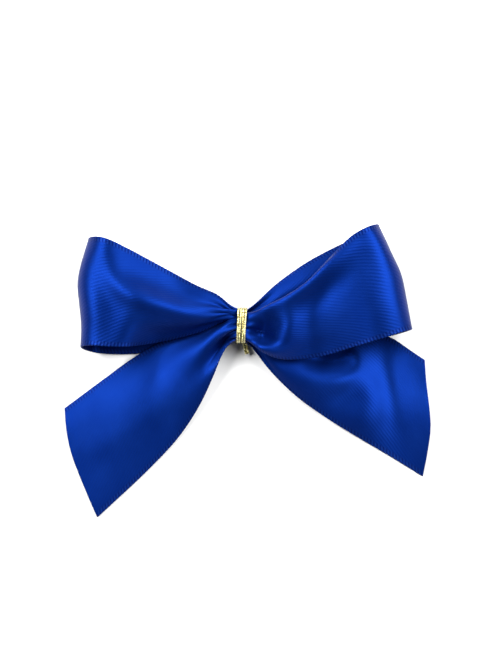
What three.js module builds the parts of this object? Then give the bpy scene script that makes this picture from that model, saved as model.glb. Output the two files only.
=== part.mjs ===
// A pre-made gift bow: one length of satin ribbon laid into two loops and two tails, gathered at
// the waist and bound with two turns of gold cord that is knotted behind.
//
// Millimetres, +Z up. The bow lies on its back. The origin is the middle of the cord knot's flat
// back, which presses against the gift. +X runs from the left loop to the right loop, and the
// tails point towards -Y.

import * as THREE from "three";

// Ribbon
const RIBBON_THICK = 0.4; // one layer of double-faced satin
const ROOT_THICK = 1.3; // a layer squeezed into its pleats where it enters the waist
const GATHER = 0.3; // share of a section's length over which the pleats open out
const GAP = 0.3; // clearance between neighbouring pieces

// Waist: three layers, one over another, squeezed by the cord
const WAIST_Z = 5.5;
const WAIST_HALF_LENGTH = 2.3; // along X
const WAIST_HALF_WIDTH = 2.95; // along Y, at the middle of a layer
const LAYER_THICK = 1.3;
const LAYER_CHAMFER = 0.6; // each layer's edges slope in by this much above and below
const LOOP_ROOT = WAIST_HALF_LENGTH + GAP; // where the loops begin
const TAIL_ROOT = LOOP_ROOT + GAP; // the tails begin further out, with room to swing

// Gold cord
const CORD_RADIUS = 0.55;
const TURN_PITCH = 1.2; // between the two turns
const TIE_LEAN = THREE.MathUtils.degToRad(3.4); // the turns lean a little across the waist
const KNOT_RADIUS = 1.9;
const KNOT_FLAT_RADIUS = 1.4; // the flat back that rests against the gift
const KNOT_HEIGHT = 1.35;

// Facets
const STEPS_ALONG = 24;
const STEPS_ACROSS = 8;
const CORD_SIDES = 8;

const satin = new THREE.MeshStandardMaterial({ color: 0x0a2fa3, roughness: 0.38, metalness: 0 });
const gold = new THREE.MeshStandardMaterial({ color: 0xd9b64a, roughness: 0.3, metalness: 0.9 });

const bow = new THREE.Group();

function addPiece(name, geometry, material) {
  const mesh = new THREE.Mesh(geometry, material);
  mesh.name = name;
  bow.add(mesh);
  return mesh;
}

// Ribbon sections -----------------------------------------------------------------------------
// A section is lofted through guide curves that run along the ribbon, from its root at the waist
// to its far end. The first guide is one selvedge and the last guide is the other.

const curveThrough = (points) => new THREE.CatmullRomCurve3(points, false, "centripetal");

function guideSurface(guides) {
  const curves = guides.map((guide) => curveThrough(guide.map((p) => new THREE.Vector3(...p))));
  const rows = [];
  for (let i = 0; i <= STEPS_ALONG; i++) {
    const across = curveThrough(curves.map((curve) => curve.getPoint(i / STEPS_ALONG)));
    rows.push(across.getPoints(STEPS_ACROSS));
  }
  return rows;
}

function surfaceNormal(rows, i, j) {
  const before = rows[Math.max(i - 1, 0)][j];
  const after = rows[Math.min(i + 1, STEPS_ALONG)][j];
  const one = rows[i][Math.max(j - 1, 0)];
  const other = rows[i][Math.min(j + 1, STEPS_ACROSS)];
  const along = new THREE.Vector3().subVectors(after, before);
  const across = new THREE.Vector3().subVectors(other, one);
  return along.cross(across).normalize();
}

function layerThickness(i) {
  const opened = THREE.MathUtils.smoothstep(i / STEPS_ALONG, 0, GATHER);
  return THREE.MathUtils.lerp(ROOT_THICK, RIBBON_THICK, opened);
}

// Gives the surface its thickness: a front face, a back face and the wall round the rim.
function ribbonSolid(guides) {
  const rows = guideSurface(guides);
  const width = STEPS_ACROSS + 1;
  const count = rows.length * width;
  const front = [];
  const back = [];
  rows.forEach((row, i) =>
    row.forEach((point, j) => {
      const half = surfaceNormal(rows, i, j).multiplyScalar(layerThickness(i) / 2);
      front.push(...new THREE.Vector3().addVectors(point, half).toArray());
      back.push(...new THREE.Vector3().subVectors(point, half).toArray());
    }),
  );

  const index = [];
  const quad = (a, b, c, d) => index.push(a, b, c, a, c, d);
  for (let i = 0; i < STEPS_ALONG; i++)
    for (let j = 0; j < STEPS_ACROSS; j++) {
      const corner = i * width + j;
      quad(corner, corner + width, corner + width + 1, corner + 1);
      const under = corner + count;
      quad(under, under + 1, under + width + 1, under + width);
    }

  const rim = [];
  for (let j = 0; j < STEPS_ACROSS; j++) rim.push(j);
  for (let i = 0; i < STEPS_ALONG; i++) rim.push(i * width + STEPS_ACROSS);
  for (let j = STEPS_ACROSS; j > 0; j--) rim.push(STEPS_ALONG * width + j);
  for (let i = STEPS_ALONG; i > 0; i--) rim.push(i * width);
  rim.forEach((a, k) => {
    const b = rim[(k + 1) % rim.length];
    quad(a, b, b + count, a + count);
  });

  const geometry = new THREE.BufferGeometry();
  geometry.setAttribute("position", new THREE.Float32BufferAttribute([...front, ...back], 3));
  geometry.setIndex(index);
  return geometry;
}

// Waist layers ---------------------------------------------------------------------------------

function waistLayer(name, level) {
  const y = WAIST_HALF_WIDTH;
  const edge = y - LAYER_CHAMFER;
  const z = LAYER_THICK / 2;
  const outline = new THREE.Shape([
    [-edge, -z], [edge, -z], [y, 0], [edge, z], [-edge, z], [-y, 0],
  ].map((corner) => new THREE.Vector2(...corner)));
  const geometry = new THREE.ExtrudeGeometry(outline, {
    depth: 2 * WAIST_HALF_LENGTH,
    bevelEnabled: false,
  });
  // The outline's X and Y become the part's Y and Z, and its depth runs along X.
  geometry.applyMatrix4(new THREE.Matrix4().makeBasis(
    new THREE.Vector3(0, 1, 0), new THREE.Vector3(0, 0, 1), new THREE.Vector3(1, 0, 0),
  ));
  const layer = addPiece(name, geometry, satin);
  layer.position.set(-WAIST_HALF_LENGTH, 0, WAIST_Z + level * (LAYER_THICK + GAP));
}

// Gold cord --------------------------------------------------------------------------------------

function cordAlong(points, steps, closed = false) {
  const section = new THREE.Shape();
  for (let k = 0; k < CORD_SIDES; k++) {
    const angle = (2 * Math.PI * k) / CORD_SIDES;
    const method = k === 0 ? "moveTo" : "lineTo";
    section[method](CORD_RADIUS * Math.cos(angle), CORD_RADIUS * Math.sin(angle));
  }
  section.closePath();
  const route = new THREE.CatmullRomCurve3(points, closed, "centripetal");
  return new THREE.ExtrudeGeometry(section, { steps, extrudePath: route, bevelEnabled: false });
}

// One turn round the waist, on a rounded oval that keeps clear of the layers.
function tieTurn(name, side) {
  const cornerRoom = 0.15; // keeps the oval clear of the layers' corners
  const halfWidth = WAIST_HALF_WIDTH + GAP + CORD_RADIUS;
  const halfHeight = 1.5 * LAYER_THICK + 2 * GAP + CORD_RADIUS + cornerRoom;
  const squareness = 0.8; // below 1 the oval fills out towards its corners
  const ovalPoints = 24;
  const points = [];
  for (let k = 0; k < ovalPoints; k++) {
    const angle = (2 * Math.PI * k) / ovalPoints;
    const c = Math.cos(angle);
    const s = Math.sin(angle);
    points.push(new THREE.Vector3(
      0,
      halfWidth * Math.sign(c) * Math.abs(c) ** squareness,
      halfHeight * Math.sign(s) * Math.abs(s) ** squareness,
    ));
  }
  const turn = addPiece(name, cordAlong(points, 2 * ovalPoints, true), gold);
  turn.position.set(side * TURN_PITCH / 2, 0, WAIST_Z);
  turn.rotation.z = -TIE_LEAN;
}

// The cord's overhand knot, pressed flat against the gift.
function cordKnot() {
  const profile = [
    [0, 0], [KNOT_FLAT_RADIUS, 0], [KNOT_RADIUS - 0.1, 0.35], [KNOT_RADIUS, 0.7],
    [KNOT_RADIUS - 0.3, 1.1], [0.9, KNOT_HEIGHT], [0, KNOT_HEIGHT],
  ].map(([r, z]) => new THREE.Vector2(r, z));
  const geometry = new THREE.LatheGeometry(profile, 16);
  geometry.rotateX(Math.PI / 2);
  addPiece("tie_knot", geometry, gold);
}

function cordEnd(name, points) {
  addPiece(name, cordAlong(points.map((p) => new THREE.Vector3(...p)), 8), gold);
}

// The bow ----------------------------------------------------------------------------------------

waistLayer("waist_top_layer", 1);
waistLayer("waist_middle_layer", 0);
waistLayer("waist_bottom_layer", -1);

// Each front panel rises from the waist to a long ridge and rolls over the end of its loop. Each
// back panel returns from there along the surface that the bow lies on.
addPiece("left_loop_front", ribbonSolid([
  [[-LOOP_ROOT, 3.2, 5.7], [-9.2, 8.4, 7.4], [-16.3, 12.2, 8.6], [-22.8, 15.7, 10.2], [-29, 19, 11.4],
    [-32.6, 20, 11], [-34.3, 19.7, 6.5]],
  [[-LOOP_ROOT, 2.8, 5.9], [-9, 6, 8.2], [-16.5, 8.4, 9.6], [-23.5, 11.3, 11.2], [-29.8, 14.4, 12],
    [-33.2, 15, 11.6], [-35.7, 14.6, 6.6]],
  [[-LOOP_ROOT, 2.2, 6], [-9, 3.2, 9.8], [-16.3, 4.6, 11.4], [-23.5, 6.8, 12.2], [-29.6, 9.1, 12.2],
    [-34, 9.5, 12], [-37.1, 9.3, 6.6]],
  [[-LOOP_ROOT, 1.6, 5.9], [-9, 1, 8.8], [-15.5, 0.4, 10], [-23, 0.6, 11.4], [-29.4, 1.8, 12],
    [-33.8, 2, 11.8], [-36.4, 2, 6.6]],
  [[-LOOP_ROOT, 1, 5.6], [-8.9, -1, 6.4], [-14.7, -2.8, 7.2], [-22, -4.3, 8.8], [-29, -5, 10.6],
    [-33.3, -5, 10.6], [-36.5, -5.2, 6.5]],
]), satin);
addPiece("left_loop_back", ribbonSolid([
  [[-LOOP_ROOT, 2.8, 3.9], [-9.2, 7.2, 2.6], [-16.3, 11, 1.4], [-22.8, 14.8, 0.6], [-29.4, 18.6, 0.8],
    [-32.8, 19.6, 2.4], [-34.2, 19.6, 6]],
  [[-LOOP_ROOT, 1.8, 4], [-10, 3.6, 2.8], [-17, 5, 1.6], [-24, 6, 0.8], [-31, 6.5, 1.1],
    [-35.2, 6.6, 2.8], [-36.9, 6.6, 6.1]],
  [[-LOOP_ROOT, 0.9, 4], [-8.9, -0.2, 3], [-14.7, -1.4, 2], [-21, -3, 1.4], [-29.9, -5.8, 1.4],
    [-34, -6.2, 2.8], [-36.4, -5.6, 6]],
]), satin);
addPiece("right_loop_front", ribbonSolid([
  [[LOOP_ROOT, 3.0, 6.9], [8.3, 6.4, 8], [14.2, 10.6, 9], [21.6, 15.6, 10.4], [28.4, 21.2, 11.4],
    [31.4, 22.6, 10.6], [32.4, 22.5, 6.5]],
  [[LOOP_ROOT, 1.8, 7.3], [8.6, 3.9, 10.2], [15.2, 7.4, 11.6], [23.4, 11.6, 12.2], [30.2, 15.6, 12.4],
    [33.4, 16.6, 11.4], [34.8, 16.4, 6.6]],
  [[LOOP_ROOT, 0, 7.4], [9, -0.6, 9.6], [16.6, 2.4, 10.8], [24.8, 5.6, 12], [32, 8.9, 12.6],
    [35.9, 10.2, 11.6], [38, 10.3, 6.6]],
  [[LOOP_ROOT, -1.8, 7.3], [9.2, -5, 8.8], [17.6, -3.6, 9.8], [26.4, -0.8, 11.4], [33.8, 2.2, 12],
    [37.6, 3.6, 11.2], [39.3, 4, 6.6]],
  [[LOOP_ROOT, -3, 6.9], [9.2, -8.8, 6.8], [18.1, -9, 7.8], [27, -6.3, 9.8], [35.3, -3.8, 11],
    [38.6, -2.4, 10.4], [40.2, -1.8, 6.5]],
]), satin);
addPiece("right_loop_back", ribbonSolid([
  [[LOOP_ROOT, 3.0, 5.1], [8.3, 6.9, 2.8], [14.2, 11.7, 1.2], [21.6, 15.8, 0.6], [28.4, 20.9, 1],
    [31.2, 22.4, 2.6], [32.3, 22.4, 6]],
  [[LOOP_ROOT, 1.7, 5.2], [9, 3.4, 3], [17, 6, 1.3], [26, 8.6, 0.7], [33, 10.4, 1],
    [36.8, 11.1, 2.8], [37.8, 11.2, 6.1]],
  [[LOOP_ROOT, 0.4, 5.2], [9.6, -1.2, 4.4], [18.6, -3.6, 3.4], [28, -4.4, 2.8], [35.2, -3.2, 2.8],
    [38.8, -2.2, 3.4], [40.1, -1.9, 6]],
]), satin);

// The tails slope down from the waist to slanted cut ends. The left tail leaves the waist on top
// and drops away beside its loop; the right tail leaves it at the bottom and lies under its loop.
addPiece("left_tail", ribbonSolid([
  [[-TAIL_ROOT, 0.3, 6.9], [-6.5, -2, 6], [-12.4, -5.6, 4], [-22.2, -8.4, 1.8], [-31.6, -13.3, 1.4],
    [-40.6, -20, 1.6]],
  [[-TAIL_ROOT, -0.7, 7.2], [-6.2, -3.8, 7], [-11.4, -8.2, 5.2], [-19.5, -14, 3.2], [-29, -20.5, 2.6],
    [-39.6, -28.3, 2.4]],
  [[-TAIL_ROOT, -1.9, 7.2], [-5, -5.6, 6.2], [-8.8, -11.4, 4.6], [-15.5, -20, 3], [-25, -28.8, 2.4],
    [-36.6, -37.4, 1.8]],
  [[-TAIL_ROOT, -2.9, 6.9], [-3.9, -6.6, 5.4], [-6, -15.2, 3.2], [-12.5, -25.8, 1.4], [-22, -35.4, 0.8],
    [-32.9, -45.9, 0.2]],
]), satin);
addPiece("right_tail", ribbonSolid([
  [[TAIL_ROOT, -0.6, 3.8], [8, -1.6, 2], [17, -0.8, 0.8], [27, -1.4, 0.5], [35.5, -4.2, 0.8],
    [43.1, -8.7, 1.4]],
  [[TAIL_ROOT, -1.3, 4], [8, -4.4, 3.4], [16.5, -6.6, 1.8], [26, -7.8, 1.4], [36, -11.6, 2.2],
    [44.2, -15.6, 2.4]],
  [[TAIL_ROOT, -2.2, 4], [7.4, -7, 3.8], [15.5, -12.4, 3], [25, -16, 2.6], [35, -20.4, 2.4],
    [44.4, -24.4, 2.6]],
  [[TAIL_ROOT, -2.9, 3.8], [5.6, -9.4, 2.6], [12.4, -16.1, 1.2], [23.3, -24.2, 0.6], [33, -30, 0.4],
    [42.8, -36.1, 0.2]],
]), satin);

tieTurn("tie_left_turn", -1);
tieTurn("tie_right_turn", 1);
cordKnot();
cordEnd("tie_short_end", [[0.5, -2.2, 0.7], [0.7, -3.6, 1], [0.9, -5, 1.4], [1.3, -6.6, 1.6]]);
cordEnd("tie_long_end", [[-2.15, 0.55, 0.7], [-3.7, 1.1, 0.7], [-5.4, 1.7, 0.7], [-7.2, 2, 0.7]]);

export default bow;
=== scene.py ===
"""A pre-made gift bow: blue double-faced satin ribbon bound with braided gold cord, seen from above.

The ribbon is one strip that makes two loops and two tails. Here each loop and each tail is one
sheet, from the middle of the waist outwards.
Each sheet is lofted through given guide curves, then creased and pleated. A last pass
eases it towards its flat size, which moves it by only a few hundredths of a millimetre on average.
"""
import math

import bmesh
import bpy
import numpy as np
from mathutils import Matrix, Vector


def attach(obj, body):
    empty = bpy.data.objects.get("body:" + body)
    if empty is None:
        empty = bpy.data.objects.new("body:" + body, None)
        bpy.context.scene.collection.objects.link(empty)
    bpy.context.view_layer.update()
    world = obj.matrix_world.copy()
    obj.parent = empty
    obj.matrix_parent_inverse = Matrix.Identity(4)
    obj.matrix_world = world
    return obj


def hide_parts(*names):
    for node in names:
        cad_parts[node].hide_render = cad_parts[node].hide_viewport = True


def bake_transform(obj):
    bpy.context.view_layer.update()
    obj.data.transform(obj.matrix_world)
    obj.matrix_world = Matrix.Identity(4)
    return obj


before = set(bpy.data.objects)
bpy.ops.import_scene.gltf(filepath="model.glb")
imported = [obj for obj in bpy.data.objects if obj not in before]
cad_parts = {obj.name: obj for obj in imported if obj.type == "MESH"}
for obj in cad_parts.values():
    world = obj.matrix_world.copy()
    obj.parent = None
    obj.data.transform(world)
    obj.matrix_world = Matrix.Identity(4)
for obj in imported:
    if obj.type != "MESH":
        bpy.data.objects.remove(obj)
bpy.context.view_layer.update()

MM = 0.001

# Ribbon, in millimetres
RIBBON_WIDTH = 25.0
RIBBON_THICK = 0.22
GRID = 0.6  # spacing of the cloth's grid
ROUGH_ALONG = 120  # points of the first loft, which only measures the ribbon's length
ROUGH_ACROSS = 26
SOFT_HOLD = 0.2  # pull of the guides on the settling cloth, at each step
EDGE_HOLD = 0.5
ROOT_HOLD = 1.2  # the cloth is fixed this near to the middle of the waist
HOLD_SHARES = np.array([1, 1, 0.25])  # shares of the pull along x, y and z
SPRINGS = (((1, 0), 0.9), ((0, 1), 0.9), ((1, 1), 0.3), ((1, -1), 0.3))  # grid offset, stiffness
SETTLE_STEPS = 400
LOFT_ROUNDS = 8  # passes that round off the loft
EVEN_ROUNDS = 3  # passes that spread the cloth evenly over its lofted surface
PLEAT_START = 1.0  # height of the pleats where the ribbon is fully gathered
PLEAT_SHARE = 0.7  # a section this share of the flat width, or wider, has none
CREASE_POINTS = 160  # points on a crease's path
CREASE_BLURS = 6  # passes that round the creases off
FADE_TO_FOLD = 0.12  # share by which a crease grows with each row away from the loop's fold
ROW_STEP = 0.21  # spacing of the finished mesh's rows, fine enough for the selvedge's stitches
BODY_STEP = 0.5
SELVEDGE_STEPS = (0, 0.06, 0.16, 0.3, 0.5, 0.75, 1.0, 1.3)  # columns' distances from the edge
BEAD_WIDTH = 0.7
BEAD_THICK = 0.04  # how much thicker the selvedge is than the cloth, on each face
BEAD_ROUND = 0.16
STITCH_BASE = 0.45  # share of the bead's thickness that is there between the stitches
EDGE_THIN = 0.02  # least share of the rounding at the very edge
PICOT = 0.05  # how far the stitches scallop the edge
SMOOTH_ALONG = 0.5  # share of a point's movement that it takes from its neighbours
SMOOTH_ACROSS = 0.4

# Satin: weave, selvedge and colours; lengths in millimetres
TWILL_ANGLE = math.radians(27)
TWILL_PITCH = 0.7
TWILL_WANDER = 0.25
WANDER_SCALE = 900  # noise scales are in cells a metre
MOTTLE_SCALE = 90
TWILL_RELIEF = 0.009
MOTTLE_RELIEF = 0.02
SELVEDGE_WIDTH = 1.3
SELVEDGE_SHARP = 4.0
TICK_PITCH = 0.79
TICK_SLANT = 0.35
SATIN_DEEP = (0.0, 0.008, 0.09)
SATIN_BRIGHT = (0.0022, 0.022, 0.18)
# SELVEDGE_SHADE is painted shade: the selvedge band is darkened as where the edge turns under
SELVEDGE_SHADE = (0.0003, 0.006, 0.075)
SELVEDGE_TICK = (0.004, 0.023, 0.16)
SATIN_ROUGH = 0.52
SATIN_METALLIC = 0.8
SATIN_ANISOTROPY = 0.6
SATIN_TURN = 0.25  # turn of the stretched highlight, in whole turns
SATIN_SPECULAR = 0.05

# Gold cord, in millimetres
STRANDS = 4
STRAND_RADIUS = 0.14
PLAIT_WIDTH = 0.42  # sideways swing of a strand from the cord's middle
PLAIT_DEPTH = 0.26  # in-and-out swing
PLAIT_PITCH = 1.7  # length in which a strand comes back to its place
CORE_RADIUS = 0.2
KNOT_SIZE = 0.5
KNOT_MIDDLE = 0.84  # height of the knot's middle
KNOT_RISE = 0.42  # how far the cord rises and dips where it crosses itself
KNOT_CORD = 0.62  # the pressed cord in the knot, as a share of the free cord's thickness
KNOT_POINTS = 150
TURN_HALF_WIDTH = 3.75
TURN_HALF_HEIGHT = 3.4
TURN_MIDDLE = 5.3
TURN_SQUARE = 0.85  # below 1, the oval of a turn is a little squared
TURN_APART = 0.57  # of each turn from the middle of the waist
TURN_LEAN = 0.05
TURN_POINTS = 140
END_STEP = 0.12
# GOLD_FLECK_SHADE is painted shade: dark flecks standing in for the shaded gaps of the braid
GOLD_FLECK_SHADE = (0.2, 0.17, 0.03)
GOLD_BRIGHT = (0.95, 0.88, 0.5)
GOLD_ROUGH = 0.3
GOLD_GRAIN = 0.05
GRAIN_SCALE = 2600
FLECK_START = 0.4  # grain above this is bright
FLECK_CONTRAST = 6.0
# The core's colour is painted shade: dark, so the gaps between the strands look shaded
CORE_SHADE_COLOUR = (0.03, 0.022, 0.006)
CORE_METALLIC = 0.6
CORE_ROUGH = 0.5

# Floor, light and camera, in metres
FLOOR_SIZE = 6
FLOOR_GREY = 0.66
FLOOR_ROUGH = 0.9
LIGHTS = (  # name, place, size, watts
    ("key", (-0.48, 0.24, 0.56), (0.5, 0.5), 14),
    ("fill", (0.5, 0.22, 0.56), (0.5, 0.5), 13),
    ("top", (0.0, 0.62, 0.5), (0.7, 0.4), 3),
)
WORLD_LIGHT = 0.07
CAMERA_PLACE = (0.00195, -0.0019, 0.646)
CAMERA_LENS = 150
CAMERA_SENSOR = 36

scene = bpy.context.scene


# Curves and lofts ---------------------------------------------------------------------------

def spline(points, parameters):
    """Catmull-Rom curve through points, spaced by the square root of their distances."""
    p = np.asarray(points, float)
    steps = np.maximum(np.linalg.norm(np.diff(p, axis=0), axis=1), 1e-6) ** 0.5
    knots = np.concatenate([[0], np.cumsum(steps)])
    return spline_at(p, knots, np.asarray(parameters) * knots[-1])


def spline_at(p, knots, t):
    """Cubic Hermite curve through p at knots, with Catmull-Rom tangents, at each t."""
    slope = np.diff(p, axis=0) / np.diff(knots)[:, None]
    h = np.diff(knots)[:, None]
    inner = (slope[:-1] * h[1:] + slope[1:] * h[:-1]) / (h[1:] + h[:-1])
    tangent = np.vstack([slope[:1], inner, slope[-1:]])
    i = np.clip(np.searchsorted(knots, t, side="right") - 1, 0, len(knots) - 2)
    span = (knots[i + 1] - knots[i])
    s = ((t - knots[i]) / span)[:, None]
    span = span[:, None]
    return (
        (2 * s**3 - 3 * s**2 + 1) * p[i]
        + (s**3 - 2 * s**2 + s) * span * tangent[i]
        + (-2 * s**3 + 3 * s**2) * p[i + 1]
        + (s**3 - s**2) * span * tangent[i + 1]
    )


def loft(guides, across, along):
    """Grid of points (along, across, 3) through guides: (share of the width, points) pairs."""
    shares = np.array([share for share, _ in guides])
    stations = np.array([points for _, points in guides], float)  # guide, station, xyz
    steps = np.linalg.norm(np.diff(stations.mean(0), axis=0), axis=1)
    knots = np.concatenate([[0], np.cumsum(np.maximum(steps, 1e-6))])
    t = np.linspace(0, knots[-1], along)
    lines = np.array([spline_at(line, knots, t) for line in stations])  # guide, along, xyz
    v = np.linspace(0, 1, across)
    flat = lines.reshape(len(guides), -1)
    surface = spline_at(flat, shares, v)
    return surface.reshape(across, along, 3).transpose(1, 0, 2)


def grid_length(grid):
    return np.linalg.norm(np.diff(grid, axis=0), axis=2).sum(0).mean()


# The ribbon's guides, in millimetres: x, y, z from the waist's middle outwards ------------------

RIGHT_LOOP = [
    (0, [(0, 1.8, 6.0), (2, 2.2, 5.6), (5.5, 3.6, 6), (9, 5.4, 6.6), (13.5, 8.2, 7.6), (19, 14, 9.4),
         (25.3, 20.6, 11), (29.6, 22.9, 10.2), (31.6, 23.3, 6.6), (29.4, 21.6, 1.8), (24, 19.2, 3.2),
         (15.5, 14.8, 4.6), (7.9, 9.4, 4.8), (1.8, 4, 5.4), (0, 3.1, 5.4)]),
    (0.22, [(0, 2.3, 7.2), (2, 2.6, 8.2), (5.5, 4.4, 9.6), (9.4, 6.3, 10.8), (14.6, 9.5, 12),
            (20, 14.4, 12.4), (26, 18.3, 11.8), (31.4, 20.2, 10.2), (33.1, 20, 6.6), (31, 18.4, 1.2),
            (26, 15.4, 4), (17.6, 10.8, 6.2), (9, 6.4, 5.8), (2, 3.0, 5.2), (0, 2.8, 5.2)]),
    (0.38, [(0, 1.2, 7.4), (2, 1.3, 8), (5.5, 1.8, 8.4), (9.4, 3.6, 10.2), (15.2, 6.0, 10.4),
            (21.4, 11.2, 11.4), (27, 15.4, 11.4), (32.8, 17, 10), (34.7, 16.4, 6.6), (32.4, 15, 1),
            (27, 12.6, 2), (18.4, 8.2, 3.6), (9.4, 4.6, 4.2), (2, 2.2, 5), (0, 2.2, 5)]),
    (0.55, [(0, 0, 7.4), (2, 0, 7.8), (4.8, -0.9, 6.2), (9.8, 0.4, 9.8), (15.6, 1.4, 9.4),
            (22.2, 6.2, 11.2), (29, 10.8, 11.4), (34.6, 12.4, 9.8), (36.9, 11.9, 6.6), (34.4, 10.8, 1),
            (28.6, 8.8, 0.7), (19.6, 5.2, 1.6), (10, 2.8, 3.6), (2, 1.2, 4.9), (0, 1.2, 4.9)]),
    (0.72, [(0, -1.5, 7.4), (2, -1.7, 7.8), (4.8, -3.1, 6.4), (9.6, -2.6, 9.2), (16.2, -2.4, 7.8),
            (23.4, 1.2, 10), (30.4, 5.4, 11.4), (35.8, 7, 9.8), (38, 6.6, 6.6), (35.4, 6, 1.2),
            (29.4, 4.2, 1.5), (20.4, 1.8, 1.8), (10.4, 0.8, 3.8), (2, 0.2, 4.9), (0, 0.2, 4.9)]),
    (0.87, [(0, -2.8, 7.2), (2, -3.3, 7.7), (5.2, -5, 8.9), (9.6, -6, 8), (16.8, -5.2, 6.2),
            (24, -2.4, 8.8), (31.2, 0.6, 11), (36.6, 2.4, 9.6), (38.9, 1.9, 6.6), (36.2, 1.6, 1.8),
            (30, 0.2, 1.9), (20.8, -1.2, 2.4), (10.6, -0.8, 4.2), (2, -0.6, 4.9), (0, -0.6, 4.9)]),
    (1, [(0, -3.2, 6.4), (1.8, -4, 6.6), (4.9, -6.2, 7.4), (9, -7.8, 6.6), (17.2, -7.4, 5.2),
         (24.6, -5.3, 7.6), (31.4, -3.3, 10.2), (37.2, -1.5, 9), (39.5, -0.9, 6.6), (36.8, -1.9, 2.4),
         (30.4, -3.4, 2.4), (21, -4.2, 3), (10.8, -2.4, 4.6), (2, -1.4, 5), (0, -1.4, 5)]),
]

LEFT_LOOP = [
    (0, [(0, 3.1, 5.6), (-1.8, 3.5, 6), (-5.2, 6.9, 7.2), (-9.4, 8.7, 7.8), (-14.5, 11.4, 7.8),
         (-20.4, 14.6, 9), (-26, 17.6, 10.4), (-31, 20, 11.4), (-33.6, 20.4, 9.8), (-35.3, 20.1, 6.8),
         (-33.2, 19.2, 2.4), (-27, 16.2, 1.4), (-18, 11.4, 1.6), (-9, 6.2, 2.8), (-2, 2.8, 3.8),
         (0, 2.6, 3.8)]),
    (0.2, [(0, 3, 5.8), (-1.8, 3.2, 6.2), (-5.3, 5.6, 7.2), (-9.2, 6.9, 7.8), (-14.2, 8.9, 7.9),
           (-20.4, 11.6, 9.2), (-26, 14.2, 10.6), (-31, 15.8, 11.8), (-34.3, 16.4, 10.2),
           (-36.4, 16.2, 7), (-34.2, 15.2, 1.8), (-28, 12.6, 0.9), (-19, 8.6, 1.2), (-9.6, 4.6, 2.6),
           (-2, 2.2, 3.7), (0, 2.1, 3.7)]),
    (0.36, [(0, 2.6, 5.8), (-1.8, 2.7, 6.2), (-5.3, 4.6, 7.2), (-9, 5, 7.9), (-14, 6.4, 8.2),
            (-20, 8.6, 9.8), (-26, 11, 11.2), (-31, 12.4, 12), (-35, 13, 10.4), (-37.3, 13, 7),
            (-35, 12, 1.4), (-28.6, 9.8, 0.6), (-19.6, 6.2, 1), (-10, 3.4, 2.6), (-2, 1.7, 3.6),
            (0, 1.7, 3.6)]),
    (0.46, [(0, 2.3, 6.2), (-1.8, 2.5, 7), (-5.3, 3.4, 7.8), (-8.6, 3.5, 8.4), (-13, 4.2, 9.2),
            (-18.8, 5.9, 11), (-24.6, 7.5, 12.4), (-30, 9.4, 12.4), (-35.2, 10, 10.5), (-37.8, 10, 7),
            (-35.4, 9.2, 1.2), (-29, 7.4, 0.5), (-20, 4.6, 1), (-10, 2.6, 2.6), (-2, 1.3, 3.6),
            (0, 1.3, 3.6)]),
    (0.64, [(0, 2, 6.2), (-1.8, 2.7, 7), (-5, 2.2, 7.4), (-8.5, 1.2, 8.2), (-13.4, 0.7, 9.6),
            (-19.5, 1.3, 11.4), (-25, 2.8, 12.2), (-29.8, 4.2, 12), (-35, 5.2, 10.5), (-37.4, 5.4, 7),
            (-35, 4.6, 1.2), (-29, 3.4, 0.5), (-20, 2, 1), (-10, 1.2, 2.6), (-2, 0.8, 3.5),
            (0, 0.8, 3.5)]),
    (0.82, [(0, 1.7, 6), (-1.8, 2.4, 6.6), (-5, 1.5, 6), (-8.6, 0, 5.9), (-14, -1.2, 6),
            (-20.3, -1.8, 7.4), (-25.6, -1.4, 11.2), (-30, -0.9, 11.4), (-34.4, -0.4, 10.2),
            (-36.9, 0, 7), (-34.6, -0.8, 1.6), (-28.8, -1.2, 0.8), (-20, -0.8, 0.8), (-11, 0.9, 1.3),
            (-2, 0.6, 3.3), (0, 0.6, 3.4)]),
    (1, [(0, 1.4, 5.2), (-1.8, 2.1, 5.6), (-5, 0.9, 4.8), (-8.6, -1.1, 4.8), (-14.4, -2.9, 4.4),
         (-20.8, -4.2, 4.8), (-26.2, -4.9, 9.8), (-30.4, -4.9, 10.6), (-34.6, -4.6, 9.8),
         (-37.1, -4.9, 7), (-35, -6.2, 2), (-29.6, -6.7, 1), (-21.6, -6, 0.6), (-12, -0.7, 0.9),
         (-2, 0.2, 3.3), (0, 0.2, 3.4)]),
]

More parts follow.
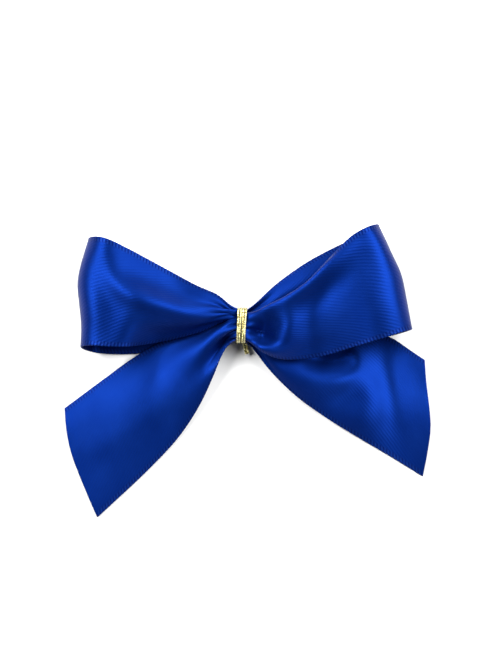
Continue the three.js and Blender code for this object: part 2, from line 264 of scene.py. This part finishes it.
LEFT_TAIL = [
    (0, [(0, 0.9, 6.4), (-1.8, 1.2, 6.8), (-4.8, 0.15, 4), (-9.2, -0.55, 2.8), (-15.5, -2.6, 1.8),
         (-22.8, -6.1, 1.6), (-32.2, -12.7, 1.6), (-41, -19.2, 2)]),
    (0.1, [(0, 0.8, 6.9), (-1.8, 1.2, 7.5), (-4.8, -0.6, 5.5), (-9.3, -2.2, 3.5), (-15.2, -4.7, 2.5),
           (-22.1, -8.6, 2.2), (-31.6, -15.1, 2.3), (-40.8, -21.5, 2.4)]),
    (0.2, [(0, 0.6, 7.2), (-1.8, 1, 8), (-4.7, -0.4, 7.2), (-9.5, -3.5, 5.4), (-14.8, -7, 4.1),
           (-21.2, -11.4, 3.2), (-30.8, -17.6, 2.8), (-40.6, -23.8, 2.8)]),
    (0.42, [(0, -0.6, 7.4), (-1.8, -0.8, 8), (-4.8, -2.2, 7.2), (-9.4, -6.6, 6), (-14.2, -11.2, 4.5),
            (-20.4, -17.2, 3.5), (-29.2, -25.2, 3), (-39.5, -29.4, 2.6)]),
    (0.62, [(0, -1.8, 7.2), (-1.8, -2.2, 7), (-4.6, -4, 5.2), (-8.6, -8.2, 5), (-13, -13.4, 4.3),
            (-19, -19.6, 3.2), (-27, -28, 2.4), (-37.9, -34, 2)]),
    (0.8, [(0, -2.8, 6.8), (-1.8, -3.1, 6.6), (-4.3, -4.9, 5.8), (-7.6, -9.6, 5), (-11.4, -15.4, 4),
           (-17, -22, 2.4), (-24.6, -30.2, 1.7), (-36, -38.8, 1.4)]),
    (0.9, [(0, -2.9, 6.4), (-1.7, -3.3, 6.4), (-4, -5.3, 6.2), (-6.9, -10.4, 5.1), (-10.3, -16.5, 3.6),
           (-15.3, -23.4, 1.9), (-22.7, -31.6, 1.1), (-34.8, -41.7, 1)]),
    (1, [(0, -3, 6.6), (-1.8, -3.3, 6.8), (-3.9, -5.6, 6), (-6.2, -11, 4.6), (-9.2, -17.6, 3),
         (-13.7, -24.8, 1.2), (-21, -32.9, 0.5), (-33.5, -44.7, 0.4)]),
]

RIGHT_TAIL = [
    (0, [(0, 0.6, 3.1), (2, 0.6, 3), (8, 0.2, 2.2), (16, 0.4, 1.6), (25, -0.2, 0.4), (34.7, -2.8, 0.4),
         (38.8, -5.6, 1.6), (42.4, -8, 2)]),
    (0.2, [(0, -0.2, 3.2), (2, -0.4, 3.2), (8, -2, 2.9), (15.6, -3.8, 2.4), (24, -5.4, 1.6),
           (33.4, -8, 1.2), (38.4, -10.6, 2.2), (42.7, -13.4, 3.2)]),
    (0.4, [(0, -1, 3.4), (2, -1.4, 3.4), (7.6, -4.6, 3.8), (15, -8, 2.6), (23, -10.6, 3.6),
           (32.4, -13.6, 1.8), (38, -15.6, 2.4), (43.3, -18.6, 3.8)]),
    (0.6, [(0, -1.8, 3.6), (2, -2.6, 3.6), (7, -6.8, 4.2), (14, -11.4, 4), (21.8, -14.8, 3.2),
           (31.4, -18.6, 2.6), (37.6, -20.6, 2.2), (43.7, -23.8, 3.4)]),
    (0.8, [(0, -2.5, 3.8), (1.8, -3.6, 3.8), (6.6, -8.8, 4), (13.2, -14, 3.4), (20.8, -18.4, 2.4),
           (30, -23, 2.2), (36.6, -25.6, 1.2), (43.1, -29.4, 2)]),
    (1, [(0, -2.9, 4), (1.6, -4.2, 4.2), (6.2, -10, 3), (12.6, -16.4, 1.8), (20, -21.7, 1),
         (28.4, -26.9, 0.6), (35, -30.8, 0.5), (42.1, -35.2, 0.3)]),
]


# Creases: width of the rise on the path's left and on its right, then the path seen from above, with
# the height of the crease at each point; a negative height is a valley.

LEFT_LOOP_CREASES = [
    (1.7, 3.8, [(-1.5, 1.9, 0), (-5.4, 2.7, 0.5), (-8.1, 2.6, 1), (-12.8, 3.2, 1.7), (-17.5, 4.4, 2),
                (-22.2, 5.7, 1.8), (-25.6, 7, 1.2), (-28.4, 9, 0.7), (-30.4, 12, 0.4), (-31, 16, 0)]),
    (3.2, 3.2, [(-33.4, 17.5, 0), (-32.2, 13, -0.6), (-31, 9, -0.8), (-29.6, 5, -0.9), (-29.4, 1, -0.8),
                (-30.8, -2.5, -0.6), (-31.6, -5.5, 0)]),
]
RIGHT_LOOP_CREASES = [
    (1.0, 3.6, [(2.2, 2.6, 0), (5.7, 4.4, 0.7), (9.4, 6.4, 1.2), (13.1, 8.2, 1.5), (16.1, 11.1, 1.6),
                (18.5, 13.8, 1.5), (20.9, 16.8, 1.2), (23.4, 19.8, 0.7), (25.4, 22.3, 0)]),
    (5.5, 5.5, [(27.5, 22.5, 0), (26, 19.6, -0.3), (24, 16.8, -0.5), (21.6, 13, -0.7), (19, 9.4, -1.1),
                (17, 5.6, -1.1), (17, 1.5, -0.5), (17.6, -3, 0)]),
    (2.4, 1.5, [(1.4, -0.8, 0), (2.8, -1.8, -1.8), (4.4, -2.6, -2.8), (5.9, -2.6, -1.9), (7.2, -1.8, 0)]),
    (3.8, 2.2, [(7.4, 3.2, 0), (9.6, 1.4, 0.5), (10.4, -1, 0.7), (9.4, -3.6, 0.8), (6.6, -4.8, 0.8),
                (3, -4.6, 0.5), (1.4, -4.4, 0)]),
]
LEFT_TAIL_CREASES = [
    (0.9, 0.9, [(-2, -1.8, 0), (-3.6, -3.6, -2), (-5.2, -5.6, -2.4), (-7, -8, -1.4), (-9, -11, 0)]),
    (2.6, 2.2, [(-14, -5.8, 0), (-17.4, -8.4, -0.5), (-19, -11, -0.5), (-22, -17, 0)]),
    (5.0, 5.0, [(-20.5, -10, 0), (-24, -15, 0.2), (-27, -20, 0.2), (-30, -26, 0)]),
]
RIGHT_TAIL_CREASES = [
    (2.4, 2.0, [(13.5, -6.2, 0), (17, -7.8, -2.4), (20.5, -8.4, -3), (24, -8, -2), (26.5, -7.2, 0)]),
    (1.8, 3.2, [(10, -8.6, 0), (15.2, -10.6, 0.7), (19.3, -12.2, 0.9), (23.4, -12.2, 0.8),
                (27.4, -9.6, 0)]),
    (2.8, 2.8, [(27, -11.6, 0), (25.4, -14.2, -0.5), (23.2, -16.8, -0.5), (19.6, -19, 0)]),
    (3.4, 3.4, [(28.2, -8.2, 0), (30.8, -13, 0.5), (30.8, -18, 0.5), (28, -22, 0.4), (24, -24.4, 0)]),
    (3.6, 3.6, [(31.6, -4, 0), (33, -8, -0.7), (34.1, -13, -1.1), (34.7, -18.6, -1), (34.4, -26, 0)]),
]


# Materials ----------------------------------------------------------------------------------------

def new_material(name):
    material = bpy.data.materials.new(name)
    material.use_nodes = True
    nodes = material.node_tree.nodes
    return material, nodes, material.node_tree.links, nodes["Principled BSDF"]


def joined(nodes, links, kind, operation, *inputs):
    """A Math or Vector Math node with sockets or plain numbers as its inputs."""
    node = nodes.new(kind)
    node.operation = operation
    for socket, value in zip(node.inputs, inputs):
        if isinstance(value, bpy.types.NodeSocket):
            links.new(value, socket)
        else:
            socket.default_value = value
    return node.outputs[0]


def math_node(nodes, links, operation, *inputs):
    return joined(nodes, links, "ShaderNodeMath", operation, *inputs)


def satin_material():
    """Blue satin: diagonal weave lines, a woven selvedge with ticks, and a thread-like highlight."""
    material, nodes, links, shader = new_material("satin")

    def calc(operation, *inputs):
        return math_node(nodes, links, operation, *inputs)

    uv = nodes.new("ShaderNodeUVMap")
    uv.uv_map = "ribbon"
    split = nodes.new("ShaderNodeSeparateXYZ")
    links.new(uv.outputs[0], split.inputs[0])
    along, across = split.outputs[0], split.outputs[1]

    # Diagonal weave lines, a little uneven
    wander = nodes.new("ShaderNodeTexNoise")
    links.new(uv.outputs[0], wander.inputs["Vector"])
    wander.inputs["Scale"].default_value = WANDER_SCALE
    wander.inputs["Detail"].default_value = 2
    slant = calc("SUBTRACT", calc("MULTIPLY", across, math.cos(TWILL_ANGLE)),
                 calc("MULTIPLY", along, math.sin(TWILL_ANGLE)))
    shifted = calc("ADD", slant, calc("MULTIPLY", wander.outputs["Fac"], TWILL_WANDER * MM))
    twill = calc("SINE", calc("MULTIPLY", shifted, 2 * math.pi / (TWILL_PITCH * MM)))

    # Distance from the nearer selvedge, and the band where its ticks lie
    half = RIBBON_WIDTH * MM / 2
    inset = calc("SUBTRACT", half, calc("ABSOLUTE", calc("SUBTRACT", across, half)))
    band = calc("SUBTRACT", 1, calc("DIVIDE", inset, SELVEDGE_WIDTH * MM))
    band = calc("MULTIPLY", calc("MAXIMUM", band, 0), SELVEDGE_SHARP)
    band = calc("MINIMUM", band, 1)
    slanted = calc("ADD", along, calc("MULTIPLY", inset, TICK_SLANT))
    tick = calc("SINE", calc("MULTIPLY", slanted, 2 * math.pi / (TICK_PITCH * MM)))
    tick = calc("MULTIPLY", calc("ADD", calc("MULTIPLY", tick, 0.5), 0.5), band)

    # Colour: broad and fine variation, the selvedge band painted darker as shade where the edge turns
    # under, lighter ticks
    mottle = nodes.new("ShaderNodeTexNoise")
    links.new(uv.outputs[0], mottle.inputs["Vector"])
    mottle.inputs["Scale"].default_value = MOTTLE_SCALE
    mottle.inputs["Detail"].default_value = 6
    shade = nodes.new("ShaderNodeMix")
    shade.data_type = "RGBA"
    links.new(mottle.outputs["Fac"], shade.inputs["Factor"])
    shade.inputs["A"].default_value = (*SATIN_DEEP, 1)
    shade.inputs["B"].default_value = (*SATIN_BRIGHT, 1)
    edge = nodes.new("ShaderNodeMix")
    edge.data_type = "RGBA"
    links.new(band, edge.inputs["Factor"])
    links.new(shade.outputs["Result"], edge.inputs["A"])
    # Painted shade: the selvedge band is darkened as where the edge turns under, away from the light
    edge.inputs["B"].default_value = (*SELVEDGE_SHADE, 1)
    ticked = nodes.new("ShaderNodeMix")
    ticked.data_type = "RGBA"
    links.new(tick, ticked.inputs["Factor"])
    links.new(edge.outputs["Result"], ticked.inputs["A"])
    ticked.inputs["B"].default_value = (*SELVEDGE_TICK, 1)
    links.new(ticked.outputs["Result"], shader.inputs["Base Color"])

    # Relief of the weave, and a faint unevenness of the cloth
    weave = calc("MULTIPLY", twill, TWILL_RELIEF)
    height = calc("ADD", weave, calc("MULTIPLY", mottle.outputs["Fac"], MOTTLE_RELIEF))
    bump = nodes.new("ShaderNodeBump")
    bump.inputs["Strength"].default_value = 1
    bump.inputs["Distance"].default_value = MM
    links.new(height, bump.inputs["Height"])
    links.new(bump.outputs[0], shader.inputs["Normal"])

    tangent = nodes.new("ShaderNodeTangent")
    tangent.direction_type = "UV_MAP"
    tangent.uv_map = "ribbon"
    links.new(tangent.outputs[0], shader.inputs["Tangent"])
    shader.inputs["Roughness"].default_value = SATIN_ROUGH
    shader.inputs["Metallic"].default_value = SATIN_METALLIC
    shader.inputs["Anisotropic"].default_value = SATIN_ANISOTROPY
    shader.inputs["Anisotropic Rotation"].default_value = SATIN_TURN
    shader.inputs["Specular IOR Level"].default_value = SATIN_SPECULAR
    return material


def gold_material():
    """Metallic yarn: a fine grain of flecks on each strand, the dark ones painted shade as in the gaps of
    the braid.
    """
    material, nodes, links, shader = new_material("gold_thread")
    place = nodes.new("ShaderNodeTexCoord")
    grain = nodes.new("ShaderNodeTexNoise")
    links.new(place.outputs["Object"], grain.inputs["Vector"])
    grain.inputs["Scale"].default_value = GRAIN_SCALE
    flecks = math_node(nodes, links, "SUBTRACT", grain.outputs["Fac"], FLECK_START)
    flecks = math_node(nodes, links, "MULTIPLY", flecks, FLECK_CONTRAST)
    flecks = math_node(nodes, links, "MINIMUM", math_node(nodes, links, "MAXIMUM", flecks, 0), 1)
    tint = nodes.new("ShaderNodeMix")
    tint.data_type = "RGBA"
    links.new(flecks, tint.inputs["Factor"])
    # Painted shade: the dark flecks stand in for the shaded gaps of the braid
    tint.inputs["A"].default_value = (*GOLD_FLECK_SHADE, 1)
    tint.inputs["B"].default_value = (*GOLD_BRIGHT, 1)
    links.new(tint.outputs["Result"], shader.inputs["Base Color"])
    bump = nodes.new("ShaderNodeBump")
    bump.inputs["Strength"].default_value = 1
    bump.inputs["Distance"].default_value = GOLD_GRAIN * MM
    links.new(grain.outputs["Fac"], bump.inputs["Height"])
    links.new(bump.outputs[0], shader.inputs["Normal"])
    shader.inputs["Metallic"].default_value = 1
    shader.inputs["Roughness"].default_value = GOLD_ROUGH
    return material


# Painted shade: the core is dark so that the gaps between the plaited strands look shaded
def core_shade_material():
    material, _, _, shader = new_material("cord_core_shade")
    shader.inputs["Base Color"].default_value = (*CORE_SHADE_COLOUR, 1)
    shader.inputs["Metallic"].default_value = CORE_METALLIC
    shader.inputs["Roughness"].default_value = CORE_ROUGH
    return material


# Ribbon sheets --------------------------------------------------------------------------------------

def resampled(grid, along, across):
    """The grid's surface at other shares of its length and width, by smooth interpolation."""
    rows, columns, _ = grid.shape
    lines = spline_at(grid.reshape(rows, -1), np.arange(rows), along * (rows - 1))
    lines = lines.reshape(len(along), columns, 3).transpose(1, 0, 2)
    fine = spline_at(lines.reshape(columns, -1), np.arange(columns), across * (columns - 1))
    return fine.reshape(len(across), len(along), 3).transpose(1, 0, 2)


def unit(vectors):
    return vectors / np.maximum(np.linalg.norm(vectors, axis=-1, keepdims=True), 1e-9)


def even_steps(grid):
    """Moves the points of each row along the surface until they are equally far apart."""
    rows, columns, _ = grid.shape
    even = np.empty_like(grid)
    for i, row in enumerate(grid):
        steps = np.maximum(np.linalg.norm(np.diff(row, axis=0), axis=1), 1e-6)
        reach = np.concatenate([[0], np.cumsum(steps)])
        even[i] = spline_at(row, reach, np.linspace(0, reach[-1], columns))
    return even


def evened(grid):
    """Spreads the cloth evenly over its surface, both along and across the ribbon."""
    for _ in range(EVEN_ROUNDS):
        grid = even_steps(grid)
        grid = even_steps(grid.transpose(1, 0, 2)).transpose(1, 0, 2)
    return even_steps(grid)


def sheet_normals(grid):
    return unit(np.cross(np.gradient(grid, axis=0), np.gradient(grid, axis=1)))


def selvedge_columns():
    """Shares of the width at which the ribbon's mesh has points: close together at both selvedges."""
    edge = np.array(SELVEDGE_STEPS) / RIBBON_WIDTH
    body = np.linspace(edge[-1], 1 - edge[-1], round((RIBBON_WIDTH - 2 * SELVEDGE_STEPS[-1]) / BODY_STEP))
    return np.concatenate([edge[:-1], body, 1 - edge[:-1][::-1]])


def sheet_mesh(name, grid):
    """A solid ribbon round the grid's surface, in millimetres, with UVs in metres.

    The selvedges are beads, thicker than the cloth, with a stitch every TICK_PITCH.
    """
    length = grid_length(grid)
    along = np.linspace(0, 1, round(length / ROW_STEP) + 1)
    across = selvedge_columns()
    middle = resampled(grid, along, across)
    rows, columns, _ = middle.shape
    normal = sheet_normals(middle)
    side = unit(np.gradient(middle, axis=1))
    inset = RIBBON_WIDTH * np.minimum(across, 1 - across)
    bead = np.clip(1 - (inset / BEAD_WIDTH) ** 2, 0, 1)
    stitch = 0.5 + 0.5 * np.sin(2 * math.pi * along * length / TICK_PITCH)
    swell = STITCH_BASE + (1 - STITCH_BASE) * stitch[:, None]
    half = RIBBON_THICK / 2 + BEAD_THICK * bead[None, :] * swell
    rounding = np.sqrt(np.clip(inset / BEAD_ROUND, EDGE_THIN, 1))
    half = half * rounding[None, :]
    outward = np.where(across < 0.5, -1, 1)[None, :] * bead[None, :] * (stitch[:, None] - 0.5) * PICOT
    middle = middle + outward[:, :, None] * side
    top = middle + half[:, :, None] * normal
    bottom = middle - half[:, :, None] * normal
    points = np.concatenate([top.reshape(-1, 3), bottom.reshape(-1, 3)])
    upper = np.arange(rows * columns).reshape(rows, columns)
    lower = upper + rows * columns
    faces = [
        quads(upper[:-1, :-1], upper[1:, :-1], upper[1:, 1:], upper[:-1, 1:]),
        quads(lower[:-1, :-1], lower[:-1, 1:], lower[1:, 1:], lower[1:, :-1]),
        quads(upper[:-1, 0], lower[:-1, 0], lower[1:, 0], upper[1:, 0]),
        quads(upper[:-1, -1], upper[1:, -1], lower[1:, -1], lower[:-1, -1]),
        quads(upper[0, :-1], upper[0, 1:], lower[0, 1:], lower[0, :-1]),
        quads(upper[-1, :-1], lower[-1, :-1], lower[-1, 1:], upper[-1, 1:]),
    ]
    mesh = bpy.data.meshes.new(name)
    mesh.from_pydata((points * MM).tolist(), [], np.concatenate(faces).tolist())
    u = np.repeat(along * length, columns) * MM
    v = np.tile(across * RIBBON_WIDTH, rows) * MM
    layer = mesh.uv_layers.new(name="ribbon")
    corner = np.empty(len(mesh.loops), int)
    mesh.loops.foreach_get("vertex_index", corner)
    corner %= rows * columns
    layer.data.foreach_set("uv", np.stack([u[corner], v[corner]], axis=1).ravel())
    mesh.polygons.foreach_set("use_smooth", np.ones(len(mesh.polygons), bool))
    mesh.validate()
    obj = bpy.data.objects.new(name, mesh)
    scene.collection.objects.link(obj)
    return obj


def quads(*corners):
    return np.stack([c.ravel() for c in corners], axis=1)


def flat_cut(grid):
    """The same grid laid flat, as the ribbon was before it was tied, in millimetres."""
    along, across, _ = grid.shape
    lengths = np.linalg.norm(np.diff(grid, axis=0), axis=2).sum(0)
    slant = np.polyval(np.polyfit(np.arange(across), lengths, 1), np.arange(across))
    lofted = np.linalg.norm(np.diff(grid, axis=1), axis=2).sum(1)
    width = np.minimum(RIBBON_WIDTH, lofted)
    s = np.linspace(0, 1, along)[:, None]
    t = np.linspace(-0.5, 0.5, across)[None, :]
    return np.stack([s * slant, t * width[:, None], 0 * s * t], axis=2)


def pleated(grid, pleats):
    """Starts small pleats that run along the ribbon wherever the loft is narrower than the cloth."""
    across = grid.shape[1]
    lofted = np.linalg.norm(np.diff(grid, axis=1), axis=2).sum(1)
    spare = np.clip(1 - lofted / (PLEAT_SHARE * RIBBON_WIDTH), 0, 1)[:, None]
    v = np.linspace(0, 1, across)[None, :]
    wave = sum(size * np.sin(2 * math.pi * (count * v + phase)) for count, phase, size in pleats)
    return grid + (PLEAT_START * spare**2 * wave)[:, :, None] * sheet_normals(grid)


def rounded(grid, rounds):
    """Rounds off the kinks at the guides' points, leaving the ends and both selvedges' line."""
    grid = grid.copy()
    for _ in range(rounds):
        grid[1:-1] += np.diff(grid, 2, axis=0) / 4
        grid[1:-1, 1:-1] += np.diff(grid, 2, axis=1)[1:-1] / 4
    return grid


def creased(grid, creases, two_sided):
    """Raises the creases on the face that looks up; two_sided cloth folds back under itself."""
    rows, columns, _ = grid.shape
    farthest = np.abs(grid[:, :, 0]).argmax(axis=0)[None, :]
    upper = np.clip((farthest - np.arange(rows)[:, None]) * (FADE_TO_FOLD if two_sided else 1), 0, 1)
    rise = np.zeros((rows, columns))
    for left, right, path in creases:
        line = spline(path, np.linspace(0, 1, CREASE_POINTS))
        ahead = unit(np.gradient(line[:, :2], axis=0))
        apart = grid[:, :, None, :2] - line[None, None, :, :2]
        near = np.linalg.norm(apart, axis=3).argmin(axis=2)
        offset = np.take_along_axis(apart, near[:, :, None, None], axis=2)[:, :, 0]
        side = ahead[near][:, :, 0] * offset[:, :, 1] - ahead[near][:, :, 1] * offset[:, :, 0]
        width = np.where(side > 0, left, right)
        away = np.linalg.norm(offset, axis=2)
        rise += line[near, 2] * np.exp(-((away / width) ** 2))
    for _ in range(CREASE_BLURS):
        rise[1:-1] += np.diff(rise, 2, axis=0) / 4
        rise[:, 1:-1] += np.diff(rise, 2, axis=1) / 4
    grid = grid.copy()
    grid[:, :, 2] = np.maximum(grid[:, :, 2] + rise * upper, RIBBON_THICK / 2)
    return grid


def neighbours(offset):
    """Index slices of the grid points that a spring of this offset joins."""
    di, dj = offset
    one = (slice(None, -di or None), slice(max(-dj, 0), -max(dj, 0) or None))
    other = (slice(di, None), slice(max(dj, 0), -max(-dj, 0) or None))
    return one, other


def settle(target, flat, hold):
    """Position-based easing: springs bring each cell towards its flat size, hold pulls each point
    back to its place, and neighbouring points share their movement. The guides decide the shape."""
    cloth = target.copy()
    springs = []
    for offset, stiffness in SPRINGS:
        one, other = neighbours(offset)
        rest = np.linalg.norm(flat[other] - flat[one], axis=2)
        axis = 0 if offset[0] else 1
        order = np.indices(rest.shape)[axis] % 2
        springs.append((one, other, rest, stiffness, order))
    free = (hold < 1)[:, :, None]
    pull = np.where(hold < 1, hold, 0)[:, :, None]
    for _ in range(SETTLE_STEPS):
        cloth += pull * HOLD_SHARES * (target - cloth)
        for one, other, rest, stiffness, order in springs:
            for turn in (0, 1):
                span = cloth[other] - cloth[one]
                length = np.linalg.norm(span, axis=2)
                push = stiffness * 0.5 * (1 - rest / length) * (order == turn)
                step = push[:, :, None] * span
                cloth[one] += step * free[one]
                cloth[other] -= step * free[other]
        moved = cloth - target
        for axis, share in ((0, SMOOTH_ALONG), (1, SMOOTH_ACROSS)):
            inner = np.diff(moved, 2, axis=axis) * (share / 2)
            where = (slice(1, -1), slice(None)) if axis == 0 else (slice(None), slice(1, -1))
            moved[where] += inner * free[where]
        cloth = target + moved
        cloth[:, :, 2] = np.maximum(cloth[:, :, 2], RIBBON_THICK / 2)
    return cloth


def ribbon_sheet(name, guides, creases, pleats):
    """One loop or tail of the ribbon; pleats are (count across the ribbon, phase, size)."""
    rough = loft(guides, ROUGH_ACROSS, ROUGH_ALONG)
    along = round(grid_length(rough) / GRID)
    across = round(RIBBON_WIDTH / GRID)
    grid = rounded(evened(loft(guides, across + 1, along + 1)), LOFT_ROUNDS)
    grid = evened(creased(grid, creases, two_sided="loop" in name))
    grid = pleated(grid, pleats)
    grid[:, :, 2] = np.maximum(grid[:, :, 2], RIBBON_THICK / 2)
    distance = np.abs(grid[:, :, 0])
    hold = np.full(distance.shape, SOFT_HOLD)
    hold[:, :2] = hold[:, -2:] = EDGE_HOLD
    hold[distance < ROOT_HOLD] = 1
    grid = settle(grid, flat_cut(grid), hold)
    obj = sheet_mesh(name, grid)
    obj.data.materials.append(SATIN)
    obj["length_mm"] = grid_length(grid)
    return obj


# Gold cord -------------------------------------------------------------------------------------------

def tube(bm, centre, radius, sides=8, closed=False):
    """Adds a round tube along the points of centre, in millimetres."""
    n = len(centre)
    if closed:
        ahead = np.roll(centre, -1, axis=0) - np.roll(centre, 1, axis=0)
    else:
        ahead = np.gradient(centre, axis=0)
    ahead /= np.linalg.norm(ahead, axis=1)[:, None]
    normal = np.cross(ahead[0], [1, 0.1, 0.2])  # any start that isn't along the tube
    rings = []
    for k in range(n):
        normal -= ahead[k] * normal.dot(ahead[k])
        normal /= np.linalg.norm(normal)
        side = np.cross(ahead[k], normal)
        ring = []
        for j in range(sides):
            angle = 2 * math.pi * j / sides
            place = centre[k] + radius * (math.cos(angle) * normal + math.sin(angle) * side)
            ring.append(bm.verts.new(place * MM))
        rings.append(ring)
    pairs = list(zip(rings, rings[1:]))
    if closed:
        last, first = rings[-1], rings[0]
        gaps = [(first[j].co - last[0].co).length for j in range(sides)]
        turn = int(np.argmin(gaps))
        pairs.append((last, first[turn:] + first[:turn]))
    else:
        bm.faces.new(list(reversed(rings[0])))
        bm.faces.new(rings[-1])
    for one, other in pairs:
        for j in range(sides):
            k = (j + 1) % sides
            bm.faces.new([one[j], one[k], other[k], other[j]])


def directions(route, closed):
    if closed:
        return unit(np.roll(route, -1, axis=0) - np.roll(route, 1, axis=0))
    return unit(np.gradient(route, axis=0))


def plait(bm, route, outward, closed=False, size=1.0):
    """Strands plaited along a route round a core painted dark as the shade between the strands; outward is
    the cord's depth direction.
    """
    steps = np.linalg.norm(np.diff(route, axis=0), axis=1)
    distance = np.concatenate([[0], np.cumsum(steps)])
    total = distance[-1] + (np.linalg.norm(route[0] - route[-1]) if closed else 0)
    turns = max(1, round(total / PLAIT_PITCH))
    sideways = unit(np.cross(directions(route, closed), outward))
    for strand in range(STRANDS):
        phase = 2 * math.pi * (turns * distance / total + strand / STRANDS)
        centre = route + size * PLAIT_WIDTH * np.sin(phase)[:, None] * sideways
        centre = centre + size * PLAIT_DEPTH * np.sin(2 * phase)[:, None] * outward
        tube(bm, centre, size * STRAND_RADIUS, closed=closed)
    before = len(bm.faces)
    tube(bm, route, size * CORE_RADIUS, closed=closed)
    bm.faces.ensure_lookup_table()
    # the core gets the dark material, painted shade between the strands
    for face in bm.faces[before:]:
        face.material_index = 1


def cord_object(name, route, outward, closed=False, size=1.0):
    bm = bmesh.new()
    plait(bm, route, outward, closed, size)
    bmesh.ops.recalc_face_normals(bm, faces=bm.faces)
    mesh = bpy.data.meshes.new(name)
    bm.to_mesh(mesh)
    bm.free()
    mesh.materials.append(GOLD)
    mesh.materials.append(CORE)
    mesh.polygons.foreach_set("use_smooth", np.ones(len(mesh.polygons), bool))
    obj = bpy.data.objects.new(name, mesh)
    scene.collection.objects.link(obj)
    return obj


def end_route(points):
    """A cord end's route, and its depth direction, which is upwards."""
    length = np.linalg.norm(np.diff(np.array(points), axis=0), axis=1).sum()
    route = spline(points, np.linspace(0, 1, round(length / END_STEP)))
    ahead = directions(route, False)
    up = np.array([0.0, 0.0, 1.0])
    return route, unit(up - ahead * (ahead @ up)[:, None])


def knot_route():
    """A closed trefoil that stands for the pressed overhand knot, and its depth direction."""
    angle = np.linspace(0, 2 * math.pi, KNOT_POINTS, endpoint=False)
    x = KNOT_SIZE * (np.sin(angle) + 2 * np.sin(2 * angle))
    y = KNOT_SIZE * (np.cos(angle) - 2 * np.cos(2 * angle))
    z = KNOT_MIDDLE - KNOT_RISE * np.sin(3 * angle)
    up = np.tile([0.0, 0.0, 1.0], (len(angle), 1))
    return np.stack([x, y, z], axis=1), up


SHORT_END = [(0.2, -1.2, 0.9), (0.6, -3.2, 1), (0.9, -5, 1.4), (1.3, -6.6, 1.6)]
LONG_END = [(-1.2, 0.3, 0.8), (-2.4, 0.7, 0.7), (-3.6, 1.1, 0.6), (-5.4, 1.7, 0.6), (-7.2, 2, 0.6)]


def turn_route(side):
    """The closed oval of one turn of the cord round the waist, and its outward directions."""
    angle = np.linspace(0, 2 * math.pi, TURN_POINTS, endpoint=False)
    c, s = np.cos(angle), np.sin(angle)
    y = TURN_HALF_WIDTH * np.sign(c) * np.abs(c) ** TURN_SQUARE
    z = TURN_MIDDLE + TURN_HALF_HEIGHT * np.sign(s) * np.abs(s) ** TURN_SQUARE
    x = side * TURN_APART + TURN_LEAN * y
    route = np.stack([x, y, z], axis=1)
    outward = np.stack([0 * c, c, s], axis=1)
    return route, outward


# Build ------------------------------------------------------------------------------------------------

SATIN = satin_material()
GOLD = gold_material()
CORE = core_shade_material()

left_loop = ribbon_sheet("left_loop", LEFT_LOOP, LEFT_LOOP_CREASES, [(3, 0.1, 1), (5, 0.4, 0.6)])
right_loop = ribbon_sheet("right_loop", RIGHT_LOOP, RIGHT_LOOP_CREASES, [(3, 0.3, 1), (5, 0.1, 0.6)])
left_tail = ribbon_sheet("left_tail_ribbon", LEFT_TAIL, LEFT_TAIL_CREASES, [(3, 0, 1), (5, 0.2, 0.6)])
right_tail = ribbon_sheet("right_tail_ribbon", RIGHT_TAIL, RIGHT_TAIL_CREASES, [(3, 0.5, 1), (5, 0.7, 0.6)])

cords = []
for name, node, (route, outward), closed in (
    ("left_turn", "tie_left_turn", turn_route(-1), True),
    ("right_turn", "tie_right_turn", turn_route(1), True),
    ("cord_knot", "tie_knot", knot_route(), True),
    ("short_end", "tie_short_end", end_route(SHORT_END), False),
    ("long_end", "tie_long_end", end_route(LONG_END), False),
):
    size = KNOT_CORD if name == "cord_knot" else 1.0
    cords.append((cord_object(name, route, outward, closed, size), node))

for obj, nodes in (
    (left_loop, ["left_loop_front", "left_loop_back", "waist_middle_layer"]),
    (right_loop, ["right_loop_front", "right_loop_back"]),
    (left_tail, ["left_tail", "waist_top_layer"]),
    (right_tail, ["right_tail", "waist_bottom_layer"]),
    *((cord, [node]) for cord, node in cords),
):
    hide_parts(*nodes)

for obj, body, far in (
    (left_loop, "left_loop", (-6, 2, 0)),
    (right_loop, "right_loop", (6, 1, 0)),
    (left_tail, "left_tail", (-6, -5, 0)),
    (right_tail, "right_tail", (6, -5, 0)),
):
    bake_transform(obj)

for cord, _ in cords:
    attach(cord, "knot")

# Floor, light and camera ---------------------------------------------------------------------------------

bpy.ops.mesh.primitive_plane_add(size=FLOOR_SIZE, location=(0, 0, 0))
floor = bpy.context.object
floor.name = "floor"
floor_material, _, _, shader = new_material("floor")
shader.inputs["Base Color"].default_value = (FLOOR_GREY, FLOOR_GREY, FLOOR_GREY, 1)
shader.inputs["Roughness"].default_value = FLOOR_ROUGH
floor.data.materials.append(floor_material)


def softbox(name, place, size, power):
    data = bpy.data.lights.new(name, "AREA")
    data.shape = "RECTANGLE"
    data.size, data.size_y = size
    data.energy = power
    light = bpy.data.objects.new(name, data)
    light.location = place
    light.rotation_euler = (-Vector(place)).to_track_quat("-Z", "Y").to_euler()
    scene.collection.objects.link(light)


for light in LIGHTS:
    softbox(*light)

world = bpy.data.worlds.new("studio")
scene.world = world
world.use_nodes = True
world.node_tree.nodes["Background"].inputs["Color"].default_value = (1, 1, 1, 1)
world.node_tree.nodes["Background"].inputs["Strength"].default_value = WORLD_LIGHT
scene.view_settings.view_transform = "Standard"

camera = bpy.data.objects.new("camera", bpy.data.cameras.new("camera"))
camera.data.lens = CAMERA_LENS
camera.data.sensor_width = CAMERA_SENSOR
camera.location = CAMERA_PLACE
scene.collection.objects.link(camera)
scene.camera = camera
